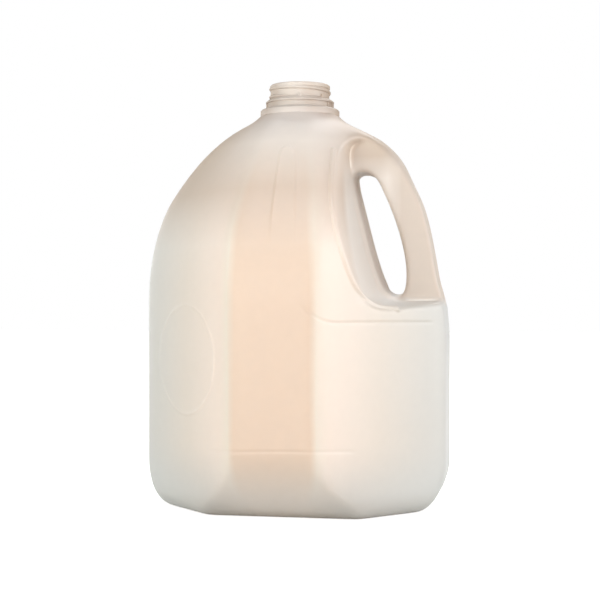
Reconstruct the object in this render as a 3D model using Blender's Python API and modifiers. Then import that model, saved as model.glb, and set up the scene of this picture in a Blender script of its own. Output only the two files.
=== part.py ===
"""An empty square dairy jug of one US gallon, blow moulded in one piece.

Metres, +Z up. The origin is at the middle of the foot, on the axis of the neck.
The mould parts on the plane Y = 0, which runs through the pouring corner (-X),
the neck and the handle (+X). The four walls face the diagonals between X and Y,
and a flat facet takes off each corner.
"""

import math

import bmesh
import bpy
import numpy as np

# ---- Driving dimensions ----------------------------------------------------------------

HEIGHT = 0.247              # foot to the rim of the neck
WALL_DISTANCE = 0.0773      # axis to each of the four walls: the jug is about 154 mm across them
CORNER_DISTANCE = 0.0876    # axis to the facet on each corner
CORNER_CRISPNESS = 70       # power of the rounded octagon: 70 gives corners of about 9 mm radius
NECK_CRISPNESS = 12         # near the neck the octagon has all but become a circle
SKIN = 0.0007               # thickness of the moulded wall

# The roll under each side of the base: how far in, how far up, and how round it is.
WALL_ROLL = (0.0125, 0.013, 2.0)
POUR_ROLL = (0.0165, 0.025, 1.7)
SIDE_ROLL = (0.036, 0.040, 1.5)
FOOT_WIDTH = 0.12           # share of the foot's reach that stands flat on the table
PUSH_UP = 0.007             # rise of the middle of the base

# The shoulder: heights, and how many millimetres the walls and each facet have drawn in there.
SHOULDER_Z = (0.100, 0.118, 0.132, 0.146, 0.160, 0.174, 0.188, 0.202, 0.213, 0.220, 0.225, 0.229)
WALL_IN = (0.0, 0.0, 0.1, 1.3, 4.9, 10.5, 18.1, 27.3, 36.1, 43.9, 50.7, 54.5)
POUR_IN = (0.0, 0.0, 0.8, 2.8, 5.7, 10.0, 17.9, 28.1, 39.6, 49.7, 59.8, 64.8)
SIDE_IN = (0.0, 0.0, 1.0, 3.6, 8.0, 14.6, 23.4, 33.8, 44.2, 52.8, 60.6, 64.8)
HANDLE_IN = (0.0, 1.7, 5.3, 7.8, 10.5, 14.2, 20.2, 27.2, 37.8, 51.0, 60.6, 64.8)
NECK_JOINT_Z = 0.2302       # the moulded wall ends here, inside the flange of the neck
NECK_STUB = 0.0215          # its outer radius there

# The handle: a hollow tube across the recess, and the gap for the fingers.
HANDLE_HALF_WIDTH = 0.0142
RECESS_DRAFT = 0.07         # each millimetre away from the parting plane opens the recess this much
RECESS_CENTRE = (0.110, 0.232)
RECESS_REACH = 0.110        # how far out the cores run, well clear of the walls
# Corners of the recess's outline on the side of the handle, and how far each is rounded.
RECESS_OUTLINE = (
    (0.0525, 0.1215, 0.010),
    (0.0450, 0.1385, 0.020),
    (0.0356, 0.1755, 0.030),
    (0.0318, 0.2135, 0.012),
    (0.1200, 0.2175, 0.0),
    (0.1200, 0.1215, 0.0),
)
# Corners of the finger gap's outline, read the same way.
GAP_OUTLINE = (
    (0.0540, 0.1232, 0.010),
    (0.0468, 0.1395, 0.020),
    (0.0376, 0.1755, 0.020),
    (0.0326, 0.1950, 0.009),
    (0.0465, 0.1950, 0.009),
    (0.0588, 0.1680, 0.030),
    (0.0654, 0.1420, 0.020),
    (0.0642, 0.1232, 0.014),
)

# The neck finish, from the rim down.
NECK_RADIUS = 0.0174
BORE_RADIUS = 0.0152
LIP_RADIUS = 0.0178
LIP_HEIGHT = 0.0022
COLLAR_RADIUS = 0.0203
COLLAR_TOP = 0.0081         # below the rim
COLLAR_FOOT = 0.0137
FLANGE_RADIUS = 0.0234
FLANGE_TOP = 0.0148
FLANGE_FOOT = 0.0186
THROAT_RADIUS = 0.0198      # inside, under the flange
THREAD_RADIUS = 0.0010
THREAD_PITCH = 0.0048
THREAD_TURNS = 1.35
THREAD_START = (0.0079, math.radians(-95))   # below the rim, and its bearing

# How finely the shapes are drawn.
AROUND = 96
VOXEL = 0.002
FILLET_PASSES = 14
SKIN_TRIANGLES = 4400
NECK_STEPS = 48

MILLIMETRE = 0.001


# ---- Small tools -----------------------------------------------------------------------


def clear_scene():
    for obj in list(bpy.data.objects):
        bpy.data.objects.remove(obj, do_unlink=True)


def new_collection(name):
    collection = bpy.data.collections.new(name)
    bpy.context.scene.collection.children.link(collection)
    return collection


def object_from_bmesh(name, bm, collection):
    mesh = bpy.data.meshes.new(name)
    bm.to_mesh(mesh)
    bm.free()
    obj = bpy.data.objects.new(name, mesh)
    collection.objects.link(obj)
    return obj


def applied(obj, name, collection):
    """A plain mesh object of what obj's modifiers or curve settings make; obj is removed."""
    bpy.context.view_layer.update()
    graph = bpy.context.evaluated_depsgraph_get()
    mesh = bpy.data.meshes.new_from_object(obj.evaluated_get(graph))
    made = bpy.data.objects.new(name, mesh)
    made.matrix_world = obj.matrix_world
    bpy.data.objects.remove(obj, do_unlink=True)
    collection.objects.link(made)
    return made


def as_cutter(obj):
    obj.hide_render = True
    obj.display_type = "WIRE"
    return obj


def add_boolean(obj, other, operation):
    modifier = obj.modifiers.new(other.name, "BOOLEAN")
    modifier.operation = operation
    modifier.solver = "EXACT"
    modifier.object = other


def smooth_curve(x, xs, ys):
    """A curve through the points that never overshoots them."""
    xs = np.asarray(xs, float)
    ys = np.asarray(ys, float)
    slopes = np.diff(ys) / np.diff(xs)
    before, after = slopes[:-1], slopes[1:]
    middle = np.where(before * after > 0, 2 * before * after / (before + after - 1e-12), 0.0)
    tangents = np.concatenate([[slopes[0]], middle, [slopes[-1]]])
    k = np.clip(np.searchsorted(xs, x) - 1, 0, len(xs) - 2)
    step = xs[k + 1] - xs[k]
    t = np.clip((x - xs[k]) / step, 0, 1)
    hermite_start = (1 + 2 * t) * (1 - t) ** 2
    hermite_end = t * t * (3 - 2 * t)
    bend = t * (1 - t) * step
    return (
        hermite_start * ys[k]
        + hermite_end * ys[k + 1]
        + bend * ((1 - t) * tangents[k] - t * tangents[k + 1])
    )


def rounded_outline(corners, steps=6):
    """The outline's points, each corner turned by an arc that starts its radius away from it."""
    points = []
    count = len(corners)
    for i, (x, z, cut) in enumerate(corners):
        here = np.array((x, z))
        if not cut:
            points.append(here)
            continue
        back = np.array(corners[i - 1][:2]) - here
        ahead = np.array(corners[(i + 1) % count][:2]) - here
        start = here + back / np.linalg.norm(back) * min(cut, np.linalg.norm(back) / 2)
        end = here + ahead / np.linalg.norm(ahead) * min(cut, np.linalg.norm(ahead) / 2)
        for step in range(steps + 1):
            t = step / steps
            points.append((1 - t) ** 2 * start + 2 * t * (1 - t) * here + t * t * end)
    return points


# ---- The body's form -------------------------------------------------------------------


def roll_under(z, roll):
    """How far a side of the base has drawn in at height z."""
    inward, rise, power = roll
    depth = min(1.0, max(0.0, 1 - z / rise))
    return inward * (1 - (1 - depth**power) ** (1 / power))


def side_distances(z):
    """How far the walls, the pouring, side and handle facets stand from the axis at height z."""
    sides = (
        (WALL_DISTANCE, WALL_IN, WALL_ROLL),
        (CORNER_DISTANCE, POUR_IN, POUR_ROLL),
        (CORNER_DISTANCE, SIDE_IN, SIDE_ROLL),
        (CORNER_DISTANCE, HANDLE_IN, POUR_ROLL),
    )
    return [
        distance - float(smooth_curve(z, SHOULDER_Z, inward)) * MILLIMETRE - roll_under(z, roll)
        for distance, inward, roll in sides
    ]


def crispness(z):
    """Corners are crisp up to the shoulder and melt into the round neck above it."""
    melt = min(1.0, max(0.0, (z - SHOULDER_Z[4]) / (SHOULDER_Z[-2] - SHOULDER_Z[4])))
    return CORNER_CRISPNESS * (NECK_CRISPNESS / CORNER_CRISPNESS) ** melt


def section(z, share=1.0):
    """Points of the rounded octagon at height z, drawn in towards the axis to this share."""
    wall, pour, side, handle = side_distances(z)
    distances = (handle, wall, side, wall, pour, wall, side, wall)
    power = crispness(z)
    keep_facets = (1 + 2 * math.cos(math.pi / 4) ** power) ** (1 / power)
    points = []
    for i in range(AROUND):
        angle = 2 * math.pi * i / AROUND
        total = 0.0
        for k, distance in enumerate(distances):
            total += (max(0.0, math.cos(angle - k * math.pi / 4)) / distance) ** power
        radius = share * keep_facets * total ** (-1 / power)
        points.append((radius * math.cos(angle), radius * math.sin(angle)))
    return points


def body_rings():
    """Closed rings from the middle of the base out to the foot and up to the neck."""
    rings = []
    for share, rise in ((0.15, 1.0), (0.40, 0.93), (0.60, 0.72), (0.74, 0.38), (0.82, 0.10)):
        rings.append([(x, y, rise * PUSH_UP) for x, y in section(0.0, share)])
    rings.append([(x, y, 0.0) for x, y in section(0.0, 1 - FOOT_WIDTH)])
    heights = [0.040 * (i / 14) ** 2 for i in range(15)]
    heights += [0.055, 0.070, 0.085]
    heights += list(np.linspace(SHOULDER_Z[0], SHOULDER_Z[-1], 40))
    for z in heights:
        rings.append([(x, y, z) for x, y in section(z)])
    for z in (NECK_JOINT_Z, HEIGHT - COLLAR_FOOT, HEIGHT - COLLAR_TOP):
        circle = [2 * math.pi * i / AROUND for i in range(AROUND)]
        rings.append([(NECK_STUB * math.cos(a), NECK_STUB * math.sin(a), z) for a in circle])
    return rings


def lofted(name, rings, collection):
    """A closed solid through rings of equal count, with a flat cap at each end."""
    bm = bmesh.new()
    made = [[bm.verts.new(point) for point in ring] for ring in rings]
    for low, high in zip(made, made[1:]):
        for i in range(len(low)):
            j = (i + 1) % len(low)
            bm.faces.new((low[i], low[j], high[j], high[i]))
    bm.faces.new(list(reversed(made[0])))
    bm.faces.new(made[-1])
    bmesh.ops.recalc_face_normals(bm, faces=bm.faces)
    return object_from_bmesh(name, bm, collection)


def drafted_core(name, corners, near, far, side, collection):
    """A mould core: the outline from near to far off the parting plane, wider further out."""
    outline = rounded_outline(corners)
    rings = []
    for distance in (near, far):
        grow = 1 + RECESS_DRAFT / (RECESS_CENTRE[0] - corners[1][0]) * distance
        ring = []
        for x, z in outline:
            wide_x = RECESS_CENTRE[0] + (x - RECESS_CENTRE[0]) * grow
            wide_z = RECESS_CENTRE[1] + (z - RECESS_CENTRE[1]) * grow
            ring.append((wide_x, side * distance, wide_z))
        rings.append(ring)
    return as_cutter(lofted(name, rings, collection))


# ---- The pieces of the jug -------------------------------------------------------------


def moulded_skin(parts, cutters):
    """The blown wall: body, shoulder, recesses and hollow handle, open at the neck."""
    blank = lofted("blank", body_rings(), parts)
    reach = RECESS_REACH
    cores = [
        drafted_core("recess_near", RECESS_OUTLINE, HANDLE_HALF_WIDTH, reach, -1, cutters),
        drafted_core("recess_far", RECESS_OUTLINE, HANDLE_HALF_WIDTH, reach, 1, cutters),
        drafted_core("gap_near", GAP_OUTLINE, -0.001, HANDLE_HALF_WIDTH + 0.003, -1, cutters),
        drafted_core("gap_far", GAP_OUTLINE, -0.001, HANDLE_HALF_WIDTH + 0.003, 1, cutters),
    ]
    for core in cores:
        add_boolean(blank, core, "DIFFERENCE")
    soft = applied(blank, "soft", parts)

    remesh = soft.modifiers.new("even_grid", "REMESH")
    remesh.mode = "VOXEL"
    remesh.voxel_size = VOXEL
    fillets = soft.modifiers.new("fillets", "SMOOTH")
    fillets.factor = 0.5
    fillets.iterations = FILLET_PASSES
    shape = applied(soft, "shape", parts)

    bm = bmesh.new()
    bm.from_mesh(shape.data)
    bpy.data.objects.remove(shape, do_unlink=True)
    lowest = min(vert.co.z for vert in bm.verts)
    for vert in bm.verts:
        vert.co.z = max(0.0, vert.co.z - lowest - 0.3 * MILLIMETRE)
    everything = bm.verts[:] + bm.edges[:] + bm.faces[:]
    bmesh.ops.bisect_plane(
        bm,
        geom=everything,
        plane_co=(0, 0, NECK_JOINT_Z),
        plane_no=(0, 0, 1),
        clear_outer=True,
    )
    bmesh.ops.triangulate(bm, faces=bm.faces)
    count = len(bm.faces)
    skin = object_from_bmesh("skin", bm, parts)

    fewer = skin.modifiers.new("fewer_facets", "DECIMATE")
    fewer.ratio = SKIN_TRIANGLES / count
    wall = skin.modifiers.new("wall", "SOLIDIFY")
    wall.thickness = SKIN
    wall.offset = -1
    wall.use_even_offset = True
    return applied(skin, "jug", parts)


def neck_ring(cutters):
    """The neck finish, turned: lip, thread land, tamper collar, flange and bore."""
    below_rim = (
        (BORE_RADIUS, 0.0),
        (LIP_RADIUS - 0.0006, 0.0),
        (LIP_RADIUS, 0.0006),
        (LIP_RADIUS, LIP_HEIGHT),
        (NECK_RADIUS, LIP_HEIGHT + 0.0004),
        (NECK_RADIUS, COLLAR_TOP - 0.0002),
        (COLLAR_RADIUS - 0.0004, COLLAR_TOP + 0.0018),
        (COLLAR_RADIUS, COLLAR_TOP + 0.0024),
        (COLLAR_RADIUS, COLLAR_FOOT),
        (FLANGE_RADIUS - 0.0006, FLANGE_TOP),
        (FLANGE_RADIUS, FLANGE_TOP + 0.0007),
        (FLANGE_RADIUS, FLANGE_FOOT),
        (THROAT_RADIUS, FLANGE_FOOT),
        (BORE_RADIUS, FLANGE_TOP - 0.0010),
    )
    bm = bmesh.new()
    loop = [bm.verts.new((radius, 0, HEIGHT - depth)) for radius, depth in below_rim]
    for start, end in zip(loop, loop[1:] + loop[:1]):
        bm.edges.new((start, end))
    ring = object_from_bmesh("neck_profile", bm, cutters)
    turn = ring.modifiers.new("turn", "SCREW")
    turn.axis = "Z"
    turn.steps = NECK_STEPS
    turn.render_steps = NECK_STEPS
    turn.use_merge_vertices = True
    turn.merge_threshold = 0.0001
    return as_cutter(applied(ring, "neck_ring", cutters))


def thread_bead(cutters):
    """A right-hand bead round the thread land, running out at both ends."""
    curve = bpy.data.curves.new("thread", "CURVE")
    curve.dimensions = "3D"
    curve.bevel_depth = THREAD_RADIUS
    curve.bevel_resolution = 1
    curve.use_fill_caps = True
    count = round(THREAD_TURNS * 32)
    depth, bearing = THREAD_START
    spline = curve.splines.new("POLY")
    spline.points.add(count)
    for i, point in enumerate(spline.points):
        turned = THREAD_TURNS * i / count
        angle = bearing + 2 * math.pi * turned
        from_end = min(turned, THREAD_TURNS - turned)
        sink = THREAD_RADIUS * max(0.0, 1 - from_end / 0.10)
        radius = NECK_RADIUS - 0.0001 - sink
        z = HEIGHT - depth + THREAD_PITCH * turned
        point.co = (radius * math.cos(angle), radius * math.sin(angle), z, 1)
    path = bpy.data.objects.new("thread_path", curve)
    cutters.objects.link(path)
    bead = applied(path, "thread", cutters)
    bm = bmesh.new()
    bm.from_mesh(bead.data)
    bmesh.ops.remove_doubles(bm, verts=bm.verts, dist=1e-6)
    bmesh.ops.recalc_face_normals(bm, faces=bm.faces)
    bm.to_mesh(bead.data)
    bm.free()
    return as_cutter(bead)


def natural_polyethylene():
    """Natural high-density polyethylene: milky, a little warm, softly glossy."""
    material = bpy.data.materials.new("natural_polyethylene")
    material.use_nodes = True
    shader = material.node_tree.nodes["Principled BSDF"]
    shader.inputs["Base Color"].default_value = (0.80, 0.73, 0.65, 1)
    shader.inputs["Roughness"].default_value = 0.38
    shader.inputs["Metallic"].default_value = 0.0
    return material


def build():
    clear_scene()
    parts = new_collection("dairy_jug")
    cutters = new_collection("cutters")
    jug = moulded_skin(parts, cutters)
    add_boolean(jug, neck_ring(cutters), "UNION")
    add_boolean(jug, thread_bead(cutters), "UNION")
    jug.data.materials.append(natural_polyethylene())
    jug.data.shade_smooth()
    jug.data.set_sharp_from_angle(angle=math.radians(40))


build()
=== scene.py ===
"""An empty one-gallon square dairy jug of natural polyethylene, on a white studio sweep.

Metres, +Z up, in the frame of the solid: the origin is under the neck on the table, the
mould parts on the plane Y = 0, the handle is on +X and the pouring corner on -X.
The one moulded piece is drawn here again, finer than the solid, with the low relief
that the solid leaves out, and takes the solid's place.
"""

import math

import bmesh
import bpy
import numpy as np
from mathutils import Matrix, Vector
from mathutils.bvhtree import BVHTree
from mathutils.kdtree import KDTree


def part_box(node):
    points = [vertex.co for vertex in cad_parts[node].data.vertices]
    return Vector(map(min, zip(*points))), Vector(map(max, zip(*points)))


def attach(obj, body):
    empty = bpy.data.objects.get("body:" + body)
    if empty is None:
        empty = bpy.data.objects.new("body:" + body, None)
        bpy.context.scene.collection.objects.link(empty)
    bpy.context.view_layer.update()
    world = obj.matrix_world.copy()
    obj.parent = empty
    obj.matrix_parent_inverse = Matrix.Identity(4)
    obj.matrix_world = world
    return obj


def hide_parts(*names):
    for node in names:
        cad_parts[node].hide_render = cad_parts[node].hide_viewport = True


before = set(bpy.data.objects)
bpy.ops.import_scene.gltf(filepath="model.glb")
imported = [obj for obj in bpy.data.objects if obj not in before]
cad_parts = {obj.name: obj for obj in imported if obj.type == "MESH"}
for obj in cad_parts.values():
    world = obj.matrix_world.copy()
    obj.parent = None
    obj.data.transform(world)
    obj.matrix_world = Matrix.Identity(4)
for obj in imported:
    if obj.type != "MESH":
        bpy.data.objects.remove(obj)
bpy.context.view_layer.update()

MM = 0.001

# ---- Sizes of the jug ------------------------------------------------------------------

CORNER_DISTANCE, _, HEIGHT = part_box("jug")[1]    # axis to the facets; table to the rim
WALL_DISTANCE = 0.8824 * CORNER_DISTANCE
CORNER_CRISPNESS = 70               # power of the rounded octagon: corners of about 9 mm radius
NECK_CRISPNESS = 12                 # near the neck the octagon has all but become a circle
SKIN = 0.7 * MM                     # thickness of the moulded wall

# The roll under each side of the base: how far in, how far up, and how round it is.
WALL_ROLL = (12.5 * MM, 13 * MM, 2.0)
POUR_ROLL = (16.5 * MM, 25 * MM, 1.7)
SIDE_ROLL = (36 * MM, 40 * MM, 1.5)
FOOT_WIDTH = 0.12                   # share of the foot's reach that stands flat on the table
PUSH_UP = 7 * MM                    # rise of the middle of the base
# The base from its middle out to the foot: share of the foot's reach, and of the push-up.
BASE_RISE = ((0.15, 1.0), (0.40, 0.93), (0.60, 0.72), (0.74, 0.38), (0.82, 0.10))

# The shoulder: heights, and how many millimetres the walls and each facet have drawn in there.
SHOULDER_Z = (0.100, 0.118, 0.132, 0.146, 0.160, 0.174, 0.188, 0.202, 0.213, 0.220, 0.225, 0.229)
WALL_IN = (0.0, 0.0, 0.1, 1.3, 4.9, 10.5, 18.1, 27.3, 36.1, 43.9, 50.7, 54.5)
POUR_IN = (0.0, 0.0, 0.8, 2.8, 5.7, 10.0, 17.9, 28.1, 39.6, 49.7, 59.8, 64.8)
SIDE_IN = (0.0, 0.0, 1.0, 3.6, 8.0, 14.6, 23.4, 33.8, 44.2, 52.8, 60.6, 64.8)
HANDLE_IN = (0.0, 1.7, 5.3, 7.8, 10.5, 14.2, 20.2, 27.2, 37.8, 51.0, 60.6, 64.8)
NECK_JOINT_Z = 0.2302               # the blown wall ends here, inside the flange of the neck
NECK_STUB = 21.5 * MM               # its outer radius there

# The handle: a hollow tube across the recess, and the gap for the fingers.
HANDLE_HALF_WIDTH = 14.2 * MM
CORE_OVERLAP = 3 * MM               # how far the gap's cores run on into the recess
CORE_MEETING = 1 * MM               # and past the parting plane
RECESS_DRAFT = 0.07                 # each millimetre off the parting plane opens the recess this much
RECESS_CENTRE = (0.110, 0.232)
RECESS_REACH = 0.110                # how far out the cores run, well clear of the walls
# Corners of the recess's outline beside the handle, and how far each is rounded.
RECESS_OUTLINE = (
    (0.0525, 0.1215, 0.010),
    (0.0450, 0.1385, 0.020),
    (0.0356, 0.1755, 0.030),
    (0.0318, 0.2135, 0.012),
    (0.1200, 0.2175, 0.0),
    (0.1200, 0.1215, 0.0),
)
# Its upper end runs out softly into the shoulder: limits in x, |y| and z, and the ease at each.
SOFT_END = ((0.030, 0.085), (0.013, 0.050), (0.200, 0.222))
SOFT_EASE = 6 * MM
# Corners of the finger gap's outline, read the same way.
GAP_OUTLINE = (
    (0.0540, 0.1232, 0.010),
    (0.0468, 0.1395, 0.020),
    (0.0376, 0.1755, 0.020),
    (0.0326, 0.1950, 0.009),
    (0.0465, 0.1950, 0.009),
    (0.0588, 0.1680, 0.030),
    (0.0654, 0.1420, 0.020),
    (0.0642, 0.1232, 0.014),
)

# The neck finish, from the rim down.
NECK_RADIUS = 17.4 * MM
BORE_RADIUS = 15.2 * MM
LIP_RADIUS = 17.8 * MM
LIP_HEIGHT = 2.2 * MM
LIP_SLOPE = 0.4 * MM                # fall of its underside
LIP_EDGE = 0.6 * MM                 # the chamfer round the rim
COLLAR_RADIUS = 19.5 * MM           # the teeth reach out to the solid's 20.3 mm
COLLAR_TOP = 8.1 * MM               # below the rim
COLLAR_FOOT = 13.7 * MM
COLLAR_EDGE = 0.2 * MM              # the collar starts this much above its top, and narrower
# The band round the top of the collar: how far it stands out, and how far below the collar's
# top the slope above it, its upper edge, its lower edge and its underside end.
BAND_OUT = 0.7 * MM
BAND_DEPTHS = (1.2 * MM, 1.9 * MM, 2.7 * MM, 2.9 * MM)
FLANGE_RADIUS = 23.4 * MM
FLANGE_TOP = 14.8 * MM
FLANGE_FOOT = 18.6 * MM
FLANGE_EDGE = (0.6 * MM, 0.7 * MM)  # its chamfer, inwards and down
THROAT_RADIUS = 19.8 * MM           # inside, under the flange
THROAT_RISE = 1.0 * MM              # where it meets the bore, above the top of the flange
THREAD_RADIUS = 1.0 * MM
THREAD_PITCH = 4.8 * MM
THREAD_TURNS = 1.35
THREAD_START = (7.9 * MM, math.radians(-95))    # below the rim, and its bearing
THREAD_RUN_OUT = 0.08               # share of its length over which each end sinks away
THREAD_END = 0.25                   # share of its thickness left at the end
THREAD_SINK = 0.1 * MM              # how deep its middle lies under the land
# Ratchet teeth on the collar over the parting line, and the stop lugs above it.
TOOTH_SIZE = (0.6 * MM, 1.5 * MM, 3.4 * MM)      # out of the collar, round it, and up
TOOTH_PITCH = math.radians(7.5)
TEETH = 7
TEETH_DEPTH = 12.2 * MM             # middle of the teeth, below the rim
LUG_SIZE = (1.3 * MM, 2.2 * MM, 3.6 * MM)
LUG_DEPTH = 8.3 * MM
LUG_BEARINGS = (math.radians(-80), math.radians(-32), math.radians(100), math.radians(148))
CRISP_ANGLE = math.radians(40)      # edges of the neck that turn more than this stay crisp

# The relief: places as (x, z) seen square to the parting plane.
RELIEF_STEP = 0.25 * MM
EASE_REACH = 14                     # steps either way over which a route is averaged
# A rounded bead outside the edge of each recess.
BEAD_ROUTE = (
    (0.0265, 0.2045),
    (0.0281, 0.1800),
    (0.0313, 0.1614),
    (0.0350, 0.1475),
    (0.0395, 0.1333),
    (0.0443, 0.1233),
    (0.0520, 0.1166),
    (0.0636, 0.1149),
)
BEAD_HALF_WIDTH = 2.0 * MM
BEAD_HEIGHT = 1.5 * MM
BEAD_CROWN = 0.40                   # share of the half width over which it is full height
BEAD_RUN_OUT = 1.0 * MM
# The fine lines round the panel for the label.
PANEL_TOP = (
    (0.0136, 0.1190),
    (0.0185, 0.1145),
    (0.0238, 0.1111),
    (0.0270, 0.1090),
    (0.0321, 0.1078),
    (0.0440, 0.1078),
    (0.0640, 0.1076),
    (0.0830, 0.1074),
)
PANEL_FOOT = (
    (-0.0400, 0.0380),
    (-0.0166, 0.0397),
    (0.0157, 0.0404),
    (0.0321, 0.0396),
    (0.0444, 0.0384),
)
LINE_HALF_WIDTH = 1.4 * MM
TOP_LINE_DEPTH = 0.35 * MM
FOOT_LINE_DEPTH = 0.22 * MM
LINE_RUN_OUT = 8 * MM
# A ring in each wall beside the pouring corner: off the wall's middle towards -X, and its height.
RING_OFF_MIDDLE = 0.8 * MM
RING_Z = 0.0867
RING_RADIUS = 30.4 * MM
RING_HALF_WIDTH = 1.5 * MM
RING_HEIGHT = 0.35 * MM
# The flute in the shoulder over each side facet: heights, and its edges there.
FLUTE_Z = (0.138, 0.158, 0.168, 0.177, 0.188, 0.197, 0.203, 0.206)
FLUTE_LEFT = (-0.0025, -0.0024, -0.0024, -0.0023, -0.0023, -0.0022, -0.0018, 0.0015)
FLUTE_RIGHT = (0.0142, 0.0127, 0.0116, 0.0107, 0.0096, 0.0080, 0.0060, 0.0030)
FLUTE_EDGE = 1.3 * MM
FLUTE_DEPTH = 0.6 * MM
FLUTE_FADE = (0.142, 0.176)         # it runs out downwards between these heights
# The parting line, and the pinched weld in the finger gap.
SEAM_HALF_WIDTH = 0.8 * MM
SEAM_HEIGHT = 0.25 * MM
WELD_HALF_WIDTH = 1.2 * MM
WELD_HEIGHT = 1.2 * MM
WELD_RUN_OUT = 6 * MM
WELD_FULLNESS = 1.6                 # above 1, the crest of the weld is broad
WELD_BOX = ((0.028, 0.055), (0.124, 0.196))     # x and z limits of the gap's inner wall
WELD_REACH = 7 * MM                 # how far off the gap's outline that wall is looked for

# The camera, fitted to the jug's outline.
CAMERA_BEARING = math.radians(10.2)
CAMERA_DISTANCE = 0.750
CAMERA_HEIGHT = 0.120
CAMERA_LENS = 75.78

# How finely the shapes are drawn.
AROUND = 288
BASE_RINGS = (0.040, 29)            # height up to which rings crowd towards the table, and their count
WALL_RINGS = (0.045, 0.095, 11)
SHOULDER_RINGS = 87
VOXEL = 0.65 * MM                   # grid on which the moulded edges are filleted
FILLET_PASSES = 75
SOFT_PASSES = 240                   # and the upper end of the recess blended away
SMOOTHING = 0.5
SETTLING = 0.3 * MM                 # the foot is pressed this far down to stand flat again
SKIN_GRID = 2.3 * MM                # grid of the finished wall
SHARP_BEND = math.radians(14)       # it is halved twice where it bends more than this, or under relief
RELAX_PASSES = 3
RING_POINTS = 800
INNER_TRIANGLES = 18000             # the inside, which is seen only down the neck, is drawn coarser
NECK_STEPS = 160
THREAD_STEPS = 150
THREAD_SIDES = 12


# ---- Small tools -----------------------------------------------------------------------


def linear(code):
    """A colour in the renderer's linear light, from its sRGB hex code."""
    channels = [int(code[i : i + 2], 16) / 255 for i in (1, 3, 5)]
    return tuple(c / 12.92 if c <= 0.04045 else ((c + 0.055) / 1.055) ** 2.4 for c in channels)


def node(tree, kind, inputs=(), **settings):
    """Adds one node: settings by name, inputs by name or number from a value, socket or node."""
    made = tree.nodes.new(kind)
    for name, value in settings.items():
        setattr(made, name, value)
    for key, value in dict(inputs).items():
        if isinstance(value, bpy.types.Node):
            value = value.outputs[0]
        if isinstance(value, bpy.types.NodeSocket):
            tree.links.new(value, made.inputs[key])
        else:
            made.inputs[key].default_value = value
    return made


def new_object(name, mesh):
    """An object of this mesh at the origin, in the scene."""
    obj = bpy.data.objects.new(name, mesh)
    bpy.context.scene.collection.objects.link(obj)
    return obj


def applied(obj, name):
    """A plain mesh object of what obj's modifiers make; obj is removed."""
    bpy.context.view_layer.update()
    graph = bpy.context.evaluated_depsgraph_get()
    mesh = bpy.data.meshes.new_from_object(obj.evaluated_get(graph))
    bpy.data.objects.remove(obj, do_unlink=True)
    mesh.name = name
    return new_object(name, mesh)


def coordinates(mesh):
    """The places of a mesh's corners, one row each."""
    values = np.empty(len(mesh.vertices) * 3)
    mesh.vertices.foreach_get("co", values)
    return values.reshape(-1, 3)


def smooth_step(t):
    """0 below 0, 1 above 1, and an S between."""
    t = np.clip(t, 0, 1)
    return t * t * (3 - 2 * t)


def smooth_curve(x, xs, ys):
    """A curve through the points that never overshoots them."""
    xs = np.asarray(xs, float)
    ys = np.asarray(ys, float)
    slopes = np.diff(ys) / np.diff(xs)
    before, after = slopes[:-1], slopes[1:]
    middle = np.where(before * after > 0, 2 * before * after / (before + after - 1e-12), 0.0)
    tangents = np.concatenate([[slopes[0]], middle, [slopes[-1]]])
    k = np.clip(np.searchsorted(xs, x) - 1, 0, len(xs) - 2)
    step = xs[k + 1] - xs[k]
    t = np.clip((x - xs[k]) / step, 0, 1)
    hermite_start = (1 + 2 * t) * (1 - t) ** 2
    hermite_end = t * t * (3 - 2 * t)
    bend = t * (1 - t) * step
    return (
        hermite_start * ys[k]
        + hermite_end * ys[k + 1]
        + bend * ((1 - t) * tangents[k] - t * tangents[k + 1])
    )


def rounded_outline(corners, steps=10):
    """The outline's points, each corner turned by an arc that starts its radius away from it."""
    points = []
    count = len(corners)
    for i, (x, z, cut) in enumerate(corners):
        here = np.array((x, z))
        if not cut:
            points.append(here)
            continue
        back = np.array(corners[i - 1][:2]) - here
        ahead = np.array(corners[(i + 1) % count][:2]) - here
        start = here + back / np.linalg.norm(back) * min(cut, np.linalg.norm(back) / 2)
        end = here + ahead / np.linalg.norm(ahead) * min(cut, np.linalg.norm(ahead) / 2)
        for step in range(steps + 1):
            t = step / steps
            points.append((1 - t) ** 2 * start + 2 * t * (1 - t) * here + t * t * end)
    return points


# ---- The body's form -------------------------------------------------------------------


def roll_under(z, roll):
    """How far a side of the base has drawn in at height z."""
    inward, rise, power = roll
    depth = min(1.0, max(0.0, 1 - z / rise))
    return inward * (1 - (1 - depth**power) ** (1 / power))


def side_distances(z):
    """How far the walls, the pouring, side and handle facets stand from the axis at height z."""
    sides = (
        (WALL_DISTANCE, WALL_IN, WALL_ROLL),
        (CORNER_DISTANCE, POUR_IN, POUR_ROLL),
        (CORNER_DISTANCE, SIDE_IN, SIDE_ROLL),
        (CORNER_DISTANCE, HANDLE_IN, POUR_ROLL),
    )
    return [
        distance - float(smooth_curve(z, SHOULDER_Z, inward)) * MM - roll_under(z, roll)
        for distance, inward, roll in sides
    ]


def crispness(z):
    """Corners are crisp up to the shoulder and melt into the round neck above it."""
    melt = min(1.0, max(0.0, (z - SHOULDER_Z[4]) / (SHOULDER_Z[-2] - SHOULDER_Z[4])))
    return CORNER_CRISPNESS * (NECK_CRISPNESS / CORNER_CRISPNESS) ** melt


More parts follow.
